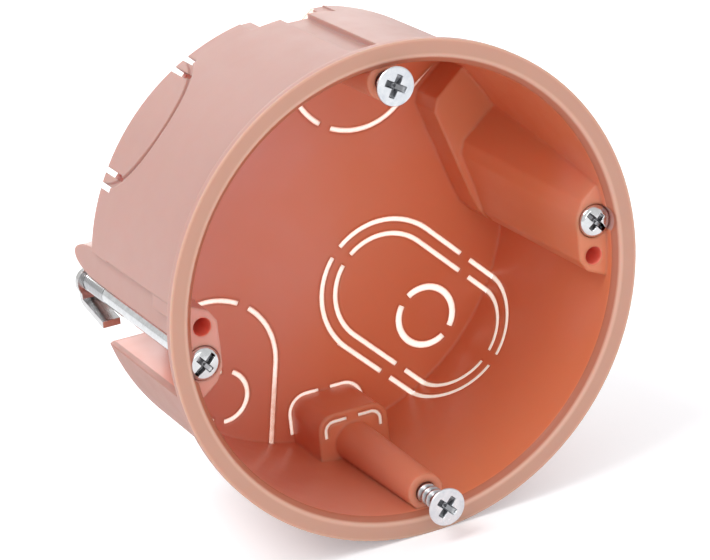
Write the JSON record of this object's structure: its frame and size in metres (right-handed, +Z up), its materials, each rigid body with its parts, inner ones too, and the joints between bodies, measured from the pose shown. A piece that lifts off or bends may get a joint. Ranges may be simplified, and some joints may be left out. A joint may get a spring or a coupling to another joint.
{
  "type": "drywall back box",
  "caption": "Round flanged back box for plasterboard, with device screws, swing-out claws and slotted knock-outs.",
  "frame": {"origin": "centre of the back face of the flange, the face that sits on the board", "axes": "+Y along the box's axis into the wall, -Y out of the mouth, +Z up through the device screws"},
  "size_m": [0.071, 0.0484, 0.071],
  "materials": {
    "plastic": "satin",
    "zinc": "bright",
    "claw_steel": "satin"
  },
  "bodies": {
    "housing": {"box_shell": "plastic"},
    "upper_device_screw": {"device_screw_top": "zinc"},
    "lower_device_screw": {"device_screw_bottom": "zinc"},
    "left_claw_screw": {"claw_screw_left": "zinc"},
    "right_claw_screw": {"claw_screw_right": "zinc"},
    "left_claw": {"claw_left": "claw_steel"},
    "right_claw": {"claw_right": "claw_steel"}
  },
  "joints": [
    {"name": "upper_screw_travel", "type": "slide", "parent": "housing", "child": "upper_device_screw", "axis": [0, -1, 0], "range_m": [-0.0013, 0.008]},
    {"name": "lower_screw_travel", "type": "slide", "parent": "housing", "child": "lower_device_screw", "axis": [0, -1, 0], "range_m": [-0.0046, 0.008]},
    {"name": "left_claw_swing", "type": "hinge", "parent": "housing", "child": "left_claw_screw", "pos_m": [-0.03038, 0, -0.00266], "axis": [0, 1, 0], "range_deg": [0, 95]},
    {"name": "right_claw_swing", "type": "hinge", "parent": "housing", "child": "right_claw_screw", "pos_m": [0.03038, 0, 0.00266], "axis": [0, 1, 0], "range_deg": [0, 95]},
    {"name": "left_claw_draw", "type": "slide", "parent": "left_claw_screw", "child": "left_claw", "axis": [0, -1, 0], "range_m": [0, 0.021]},
    {"name": "right_claw_draw", "type": "slide", "parent": "right_claw_screw", "child": "right_claw", "axis": [0, -1, 0], "range_m": [0, 0.021]}
  ]
}
